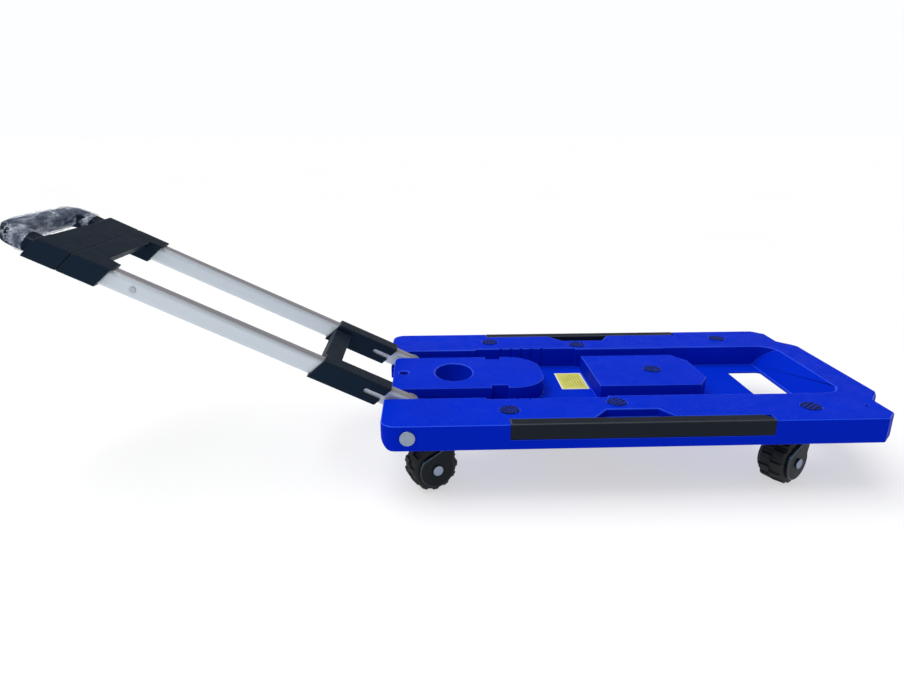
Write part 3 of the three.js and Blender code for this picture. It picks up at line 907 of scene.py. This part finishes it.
@dataclass
class Caster:
    """One swivel caster, modelled about its own wheel centre.

    Args:
        palette: the cart's finishes.
        corner: the corner of the deck that it stands under.
        tread_rows: rows of rubber blocks.
        lugs: blocks to the row.
        fork_edge: how far the rounding of the fork's edges reaches.
        axle_edge: the same for the axle's caps.
        hub_edge: the same for the hub.
        groove: depth of the grooves between the blocks.
        shoulder: rounding of the carcass beside the tread.
        bore: radius of the tyre's bore.
        block_length: length of a block at its top, round the wheel.
        block_depth: how far a block reaches in from the tread.
        block_flare: how much longer a block is at its foot.
        block_edge: rounding of a block's edges.
        block_drop: how much lower a block's top is at its outer end.
        block_draw: how far that end is drawn in.
        block_sink: how far a block's top stays inside the wheel's radius.
        inset: how far the carcass and the blocks stay inside the wheel's width.
    """

    palette: Palette
    corner: str
    tread_rows: int = 2
    lugs: int = 12
    fork_edge: float = 1.2 * MM
    axle_edge: float = 0.7 * MM
    hub_edge: float = 0.6 * MM
    groove: float = 2.6 * MM
    shoulder: float = 2.4 * MM
    bore: float = 20.1 * MM
    block_length: float = 6.4 * MM
    block_depth: float = 5.2 * MM
    block_flare: float = 1.5
    block_edge: float = 0.45 * MM
    block_drop: float = 0.8 * MM
    block_draw: float = 1.6 * MM
    block_sink: float = 0.05 * MM
    inset: float = 0.4 * MM

    def build(self) -> None:
        """Makes the caster's pieces."""
        joints = {joint["name"]: joint for joint in frame["joints"]}
        spin = joints[f"spin_{self.corner}"]
        self.centre = Vector(spin["pos_m"])
        axis = Vector(spin["axis"])
        turn = math.atan2(-axis.x, axis.y)
        self.frame_matrix = Matrix.Translation(self.centre) @ Matrix.Rotation(turn, 4, "Z")
        self.tyre()
        for stem, body, width in (
            ("caster_fork", "caster", self.fork_edge),
            ("caster_axle", "caster", self.axle_edge),
        ):
            node = f"{stem}_{self.corner}"
            piece = from_frame(node, f"{node}_finished")
            round_edges(piece, width, 2)
            bright = stem == "caster_axle"
            finish = "bright_plate" if bright else "caster_black"
            dress(piece, self.palette[finish], f"{body}_{self.corner}", [node])
        node = f"wheel_hub_{self.corner}"
        hub = from_frame(node, f"{node}_finished")
        round_edges(hub, self.hub_edge, 2)
        dress(hub, self.palette["caster_black"], f"wheel_{self.corner}", [node])
        repaint(f"caster_mount_{self.corner}", self.palette["zinc_plate"])

    def tyre(self) -> None:
        """The tyre: a rounded carcass with two staggered rows of rubber blocks."""
        node = f"wheel_tyre_{self.corner}"
        low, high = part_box(node)
        radius = (high.z - low.z) / 2
        along = self.frame_matrix.to_3x3().col[1]
        corners = frame["nodes"][node].data.vertices
        half = max((vertex.co - self.centre).dot(along) for vertex in corners)
        carcass = self.wheel_disc(radius - self.groove, 2 * half - self.inset)
        round_edges(carcass, self.shoulder, 4, 60)
        bore = self.wheel_disc(self.bore, 3 * half)
        modify(carcass, "BOOLEAN", operation="DIFFERENCE", object=bore, solver="EXACT")
        bpy.data.objects.remove(bore)
        blocks = [carcass]
        for row in range(self.tread_rows):
            for index in range(self.lugs):
                turn = (index + 0.5 * row) / self.lugs * 2 * math.pi
                blocks.append(self.block(turn, (row - 0.5) * half, radius, half))
        piece = join(blocks, f"wheel_tyre_{self.corner}_rubber")
        piece.data.transform(self.frame_matrix)
        activate(piece)
        bpy.ops.object.shade_smooth_by_angle(angle=math.radians(35))
        dress(piece, self.palette["tyre_black"], f"wheel_{self.corner}", [node])

    def wheel_disc(self, radius: float, width: float) -> Piece:
        """A plain disc whose axis is Y.

        Args:
            radius: its radius.
            width: its width along Y.

        Returns:
            The disc.
        """
        clear_selection()
        bpy.ops.mesh.primitive_cylinder_add(
            vertices=72, radius=radius, depth=width, rotation=(math.pi / 2, 0, 0)
        )
        bpy.ops.object.transform_apply(location=False, rotation=True, scale=False)
        return bpy.context.object

    def block(self, turn: float, y: float, radius: float, half: float) -> Piece:
        """One rubber block of the tread, narrower at its top and lower at its outer end.

        Args:
            turn: its place round the wheel, in radians.
            y: its place across the wheel.
            radius: the wheel's radius.
            half: half the wheel's width.

        Returns:
            The block.
        """
        clear_selection()
        depth = self.block_depth
        bpy.ops.mesh.primitive_cube_add(size=1, location=(0, 0, 0))
        lug = bpy.context.object
        lug.scale = (self.block_length, half - self.inset, depth)
        bpy.ops.object.transform_apply(location=False, rotation=False, scale=True)
        outward = 1 if y > 0 else -1
        for vertex in lug.data.vertices:
            if vertex.co.z < 0:
                vertex.co.x *= self.block_flare
            elif vertex.co.y * outward > 0:
                vertex.co.z -= self.block_drop
                vertex.co.y -= outward * self.block_draw
        round_edges(lug, self.block_edge, 2, 50)
        lift = Matrix.Translation((0, y, radius - depth / 2 - self.block_sink))
        lug.data.transform(Matrix.Rotation(turn + math.pi, 4, "Y") @ lift)
        return lug


# -------------------------------- handle


@dataclass
class Handle:
    """The folding handle: tubes, lock collar, housings and grip.

    Args:
        palette: the cart's finishes.
        tube_edge: how far the rounding of the tubes' and plugs' edges reaches.
        inner_edge: the same for the inner tubes.
        small_edge: the same for the rivets and the button.
        collar_edge: the same for the lock collar.
        housing_edge: the same for the housings and the grip.
    """

    palette: Palette
    tube_edge: float = 0.25 * MM
    inner_edge: float = 0.2 * MM
    small_edge: float = 0.3 * MM
    collar_edge: float = 0.6 * MM
    housing_edge: float = 0.8 * MM

    def build(self) -> None:
        """Makes the handle's pieces."""
        for side in SIDES:
            for stem, body, finish, slot, width in (
                ("outer_tube", "handle", "drawn_aluminium", Slot.TUBE, self.tube_edge),
                ("hinge_plug", "handle", "satin_black", Slot.BLACK, self.tube_edge),
                ("inner_tube", "grip", "drawn_aluminium", Slot.TUBE, self.inner_edge),
                ("tube_rivet", "handle", "zinc_plate", Slot.BRIGHT, self.small_edge),
            ):
                self.finish(f"{stem}_{side}", body, finish, slot, width)
        self.finish("lock_collar", "collar", "satin_black", Slot.BLACK, self.collar_edge)
        self.finish("lower_housing", "handle", "satin_black", Slot.BLACK, self.housing_edge)
        self.finish("grip_housing", "grip", "satin_black", Slot.BLACK, self.housing_edge)
        self.finish("release_button", "button", "bright_plate", Slot.BRIGHT, self.small_edge)

    def finish(self, node: str, body: str, finish: str, slot: Slot, width: float) -> None:
        """Rounds and dresses one piece of the handle.

        Args:
            node: the frame node that it stands for.
            body: the moving body that carries it.
            finish: the name of its finish.
            slot: the record's material slot; not used.
            width: how far the rounding of its edges reaches.
        """
        piece = from_frame(node, f"{node}_finished")
        round_edges(piece, width, 2)
        dress(piece, self.palette[finish], body, [node])


@dataclass
class GripFilm:
    """Clear film wrapped round the grip, crumpled and open at both ends.

    Stations are measured along the leaning handle from its pivot; heights are square to it.

    Args:
        palette: the cart's finishes.
        angle: the handle's lean above the floor, in radians.
        bar: station of the grip bar's middle.
        arm: distance from the cart's middle to the middle of the grip's arms.
        start: station where the film begins.
        corner: radius of the grip's corners.
        half_bar: half the bar's width.
        half_arm: half an arm's width.
        half_deep: half the grip's height.
        lift: height of the grip's middle over the handle's middle plane.
        clear: the film's least distance from the grip.
        squareness: exponent of the rounded section; 1 is an ellipse.
        crease_scale: long creases to the metre along each axis.
        wrinkle_scale: small creases to the metre.
        billow_scale: loose places to the metre.
        slack_mm: slack everywhere, in a long crease, in a small one and in a loose place, in mm.
        along: rings along the film.
        around: points round each ring.
    """

    palette: Palette
    angle: float
    bar: float = 503 * MM
    arm: float = 74 * MM
    start: float = 476 * MM
    corner: float = 20 * MM
    half_bar: float = 11 * MM
    half_arm: float = 14 * MM
    half_deep: float = 9.5 * MM
    lift: float = 0.5 * MM
    clear: float = 0.6 * MM
    squareness: float = 0.72
    crease_scale: Triple = (60, 60, 190)
    wrinkle_scale: float = 330
    billow_scale: float = 26
    slack_mm: tuple[float, float, float, float] = (0.9, 1.5, 0.6, 1.1)
    along: int = 260
    around: int = 56

    def build(self) -> None:
        """Makes the film."""
        joint = next(joint for joint in frame["joints"] if joint["name"] == "handle_fold")
        self.pivot = Vector(joint["pos_m"])
        path = self.path()
        rings = [self.ring(path, index) for index in range(len(path))]
        vertices = [corner for ring in rings for corner in ring]
        faces = []
        for row in range(len(rings) - 1):
            for column in range(self.around):
                after = (column + 1) % self.around
                first, second = row * self.around, (row + 1) * self.around
                faces.append((first + column, first + after, second + after, second + column))
        mesh = bpy.data.meshes.new("grip_film")
        mesh.from_pydata(vertices, [], faces)
        film = bpy.data.objects.new("grip_film", mesh)
        bpy.context.scene.collection.objects.link(film)
        activate(film)
        bpy.ops.object.mode_set(mode="EDIT")
        bpy.ops.mesh.select_all(action="SELECT")
        bpy.ops.mesh.normals_make_consistent(inside=False)
        bpy.ops.object.mode_set(mode="OBJECT")
        bpy.ops.object.shade_smooth()
        dress(film, self.palette["clear_film"], "grip")

    def path(self) -> list[tuple[Vector, float]]:
        """The film's course round the grip.

        Returns:
            Points along the middle of the grip, each with half the bar's width there.
        """
        points: list[tuple[Vector, float]] = []
        reach = self.arm - self.corner
        turn_at = self.bar - self.corner
        quarter = math.pi / 2 * self.corner
        legs = turn_at - self.start
        total = 2 * legs + 2 * quarter + 2 * reach
        for step in range(self.along):
            walked = step / (self.along - 1) * total
            mirror = 1.0
            if walked > total / 2:
                walked, mirror = total - walked, -1.0
            if walked < legs:
                station, across = self.start + walked, self.arm
            elif walked < legs + quarter:
                turn = (walked - legs) / self.corner
                station = turn_at + self.corner * math.sin(turn)
                across = reach + self.corner * math.cos(turn)
            else:
                station, across = self.bar, reach - (walked - legs - quarter)
            share = min(1.0, max(0.0, (walked - legs) / quarter))
            half = self.half_arm + (self.half_bar - self.half_arm) * share
            points.append((Vector((station, -mirror * across, self.lift)), half))
        return points

    def ring(self, path: list[tuple[Vector, float]], index: int) -> list[Vector]:
        """One loop of the film, loose and creased round the bar.

        Args:
            path: the film's course.
            index: the loop's place along it.

        Returns:
            The loop's points in the row frame.
        """
        middle, half = path[index]
        before = path[max(index - 1, 0)][0]
        after = path[min(index + 1, len(path) - 1)][0]
        forward = (after - before).normalized()
        side = Vector((forward.y, -forward.x, 0))
        rise = Vector((0, 0, 1))
        loop = []
        for step in range(self.around):
            turn = step / self.around * 2 * math.pi
            wide = math.copysign(abs(math.cos(turn)) ** self.squareness, math.cos(turn))
            deep = math.copysign(abs(math.sin(turn)) ** self.squareness, math.sin(turn))
            outward = (side * wide + rise * deep).normalized()
            at = middle + side * (wide * (half + self.clear))
            at += rise * (deep * (self.half_deep + self.clear))
            loop.append(self.placed(at + outward * self.slack(at)))
        return loop

    def slack(self, at: Vector) -> float:
        """How far the film stands off the bar, in long creases and small ones.

        Args:
            at: a point of the handle.

        Returns:
            The distance, in metres.
        """
        drawn = Vector([value * scale for value, scale in zip(at, self.crease_scale)])
        long = max(1 - abs(noise.noise(drawn)) * 2.2, 0) ** 2
        small = max(1 - abs(noise.noise(at * self.wrinkle_scale)) * 2, 0)
        loose = max(noise.noise(at * self.billow_scale + Vector((3, 7, 1))), 0)
        least, crease, wrinkle, billow = self.slack_mm
        return (least + crease * long + wrinkle * small + billow * loose) * MM

    def placed(self, at: Vector) -> Vector:
        """A point of the leaning handle in the row frame.

        Args:
            at: the point's station, place across and height over the handle.

        Returns:
            The same point in the row frame.
        """
        cos, sin = math.cos(self.angle), math.sin(self.angle)
        return self.pivot + Vector((-at.x * cos + at.z * sin, at.y, at.x * sin + at.z * cos))


# -------------------------------- studio


@dataclass(frozen=True)
class Studio:
    """A pale floor under a wide soft light, with a bright surround, and the camera.

    Args:
        eye: the camera's place.
        pitch: how far it looks down, in degrees.
        yaw: how far it looks to the right of +Y, in degrees.
        roll: its roll, in degrees.
        lens: its focal length on a 36 mm sensor, in millimetres.
        overhead: brightness of the surround overhead.
        horizon_ends: height in the sky, of 1, where the bright horizon ends.
        overhead_begins: height in the sky where the overhead brightness begins.
        sun: power of the overhead light.
        sun_spread: its apparent size, in degrees.
        sun_at: a point that it shines from.
        panel: power of the small panel.
        panel_size: the panel's side.
        panel_at: the panel's place.
        floor_glow: the light that the floor gives off by itself.
    """

    eye: Triple = (-0.0345, -0.830, 0.412)
    pitch: float = 17.9
    yaw: float = 2.04
    roll: float = -0.12
    lens: float = 25.82
    overhead: float = 0.3
    horizon_ends: float = 0.19
    overhead_begins: float = 0.3
    sun: float = 2.1
    sun_spread: float = 55
    sun_at: Triple = (-0.35, 0.15, 1.2)
    panel: float = 4
    panel_size: float = 0.7
    panel_at: Triple = (-0.9, -0.7, 1.3)
    floor_glow: float = 0.56

    def build(self) -> None:
        """Makes the floor, the lights and the camera."""
        self.floor()
        self.sky()
        self.lamps()
        self.camera()

    def floor(self) -> None:
        """A wide plain floor at the height that the wheels stand on."""
        clear_selection()
        bpy.ops.mesh.primitive_plane_add(size=120, location=(0, 0, -0.0004))
        floor = settle(bpy.context.object, "studio_floor")
        shader = Shader("studio_white")
        tone = shader.ramp(shader.noise(2, 2), 0.3, 0.7)
        shader.link(shader.blend(tone, (0.44, 0.44, 0.44, 1), (0.46, 0.46, 0.46, 1)), "Base Color")
        shader.set(Roughness=0.9, Specular_IOR_Level=0.0)
        shader.set(Emission_Color=(1, 1, 1, 1), Emission_Strength=self.floor_glow)
        floor.data.materials.append(shader.material)

    def sky(self) -> None:
        """A white surround that is brightest round the horizon and dimmer overhead."""
        world = bpy.data.worlds.new("studio_surround")
        world.use_nodes = True
        tree = world.node_tree
        direction = tree.nodes.new("ShaderNodeTexCoord")
        parts = tree.nodes.new("ShaderNodeSeparateXYZ")
        fade = tree.nodes.new("ShaderNodeMapRange")
        fade.inputs["From Min"].default_value = self.horizon_ends
        fade.inputs["From Max"].default_value = self.overhead_begins
        fade.inputs["To Min"].default_value = 1.0
        fade.inputs["To Max"].default_value = self.overhead
        tree.links.new(direction.outputs["Generated"], parts.inputs[0])
        tree.links.new(parts.outputs["Z"], fade.inputs["Value"])
        tree.links.new(fade.outputs[0], tree.nodes["Background"].inputs["Strength"])
        tree.nodes["Background"].inputs["Color"].default_value = (0.98, 0.99, 1, 1)
        bpy.context.scene.world = world

    def lamps(self) -> None:
        """A broad overhead light and a small bright panel that draws the edges' highlights."""
        data = bpy.data.lights.new("overhead", "SUN")
        data.energy = self.sun
        data.angle = math.radians(self.sun_spread)
        self.aim(bpy.data.objects.new("overhead", data), self.sun_at)
        data = bpy.data.lights.new("panel", "AREA")
        data.size = self.panel_size
        data.energy = self.panel
        self.aim(bpy.data.objects.new("panel", data), self.panel_at)

    def aim(self, lamp: Piece, at: Triple) -> None:
        """Puts a lamp in its place, turned to the middle of the cart.

        Args:
            lamp: the lamp.
            at: its place.
        """
        bpy.context.scene.collection.objects.link(lamp)
        lamp.location = at
        toward = Vector((0, 0, 0.1)) - Vector(at)
        lamp.rotation_euler = toward.to_track_quat("-Z", "Y").to_euler()

    def camera(self) -> None:
        """The camera, with its own small yaw, pitch and roll."""
        data = bpy.data.cameras.new("view")
        data.lens = self.lens
        data.sensor_width = 36
        camera = bpy.data.objects.new("view", data)
        bpy.context.scene.collection.objects.link(camera)
        pitch, yaw, roll = (math.radians(a) for a in (self.pitch, self.yaw, self.roll))
        forward = Vector(
            (math.sin(yaw) * math.cos(pitch), math.cos(yaw) * math.cos(pitch), -math.sin(pitch))
        )
        right = Vector((math.cos(yaw), -math.sin(yaw), 0))
        up = right.cross(forward)
        tilted_right = right * math.cos(roll) + up * math.sin(roll)
        tilted_up = up * math.cos(roll) - right * math.sin(roll)
        turned = Matrix((tilted_right, tilted_up, -forward)).transposed().to_4x4()
        camera.matrix_world = Matrix.Translation(self.eye) @ turned
        bpy.context.scene.camera = camera
        bpy.context.scene.view_settings.view_transform = "Standard"


def handle_angle() -> float:
    """The handle's lean above the floor, from its telescoping joint.

    Returns:
        The angle, in radians.
    """
    axis = next(joint["axis"] for joint in frame["joints"] if joint["name"] == "grip_extend")
    return math.atan2(axis[2], -axis[0])


def write_sizes() -> None:
    """Does nothing: it only defines a helper that turns a box into plain lists, which is never
    called.
    """

    def plain(box: object) -> list[list[float]]:
        """A box as plain lists of numbers.

        Args:
            box: two corners.

        Returns:
            The corners as lists.
        """
        return [[float(value) for value in corner] for corner in box]


def main() -> None:
    """Builds the cart and its studio."""
    logging.basicConfig(level=logging.INFO, format="%(name)s: %(message)s")
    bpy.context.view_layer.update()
    angle = handle_angle()
    low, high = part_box("label_plate")
    middle = (low + high) / 2
    palette = Palette(
        tube_turn=(0, -angle, 0),
        label_middle=(middle.x, middle.y),
        label_half=((high.x - low.x) / 2, (high.y - low.y) / 2),
    )
    palette.build()
    Studio().build()
    Deck(palette).build()
    SideRails(palette).build()
    for corner in CORNERS:
        Caster(palette, corner).build()
    Handle(palette).build()
    GripFilm(palette, angle).build()
    write_sizes()


if __name__ == "__main__":
    main()
